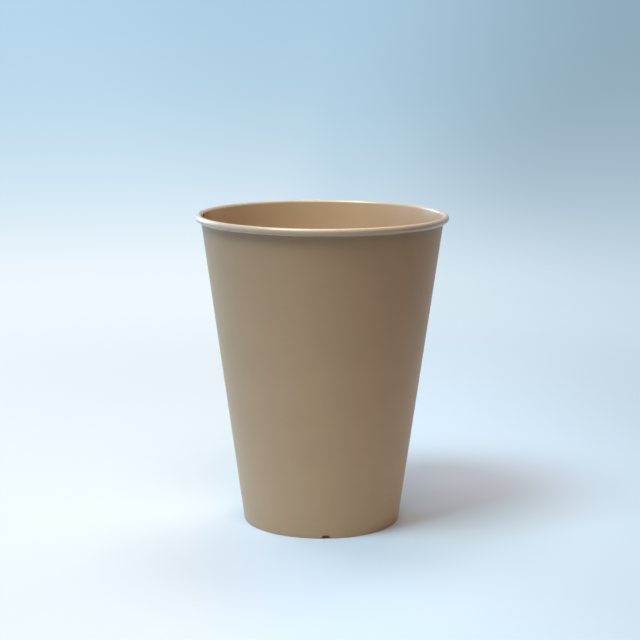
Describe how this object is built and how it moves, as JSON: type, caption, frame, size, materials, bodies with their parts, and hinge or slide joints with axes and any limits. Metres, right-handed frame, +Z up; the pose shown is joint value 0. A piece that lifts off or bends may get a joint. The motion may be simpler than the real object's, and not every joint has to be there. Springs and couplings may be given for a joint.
{
  "type": "paper coffee cup",
  "caption": "Tapered paper hot-drink cup with a rolled rim, a lapped side seam, a recessed bottom disc and a folded-in foot.",
  "frame": {"origin": "centre of the foot ring, on the surface that the cup stands on", "axes": "+Z up along the cup's axis to the mouth, -Y towards the front of the cup, where the foot notch is"},
  "size_m": [0.09, 0.09, 0.1115],
  "materials": {
    "wall_paper": "satin",
    "bottom_paper": "satin"
  },
  "bodies": {
    "root": {"sidewall": "wall_paper", "bottom_disc": "bottom_paper"}
  },
  "joints": []
}
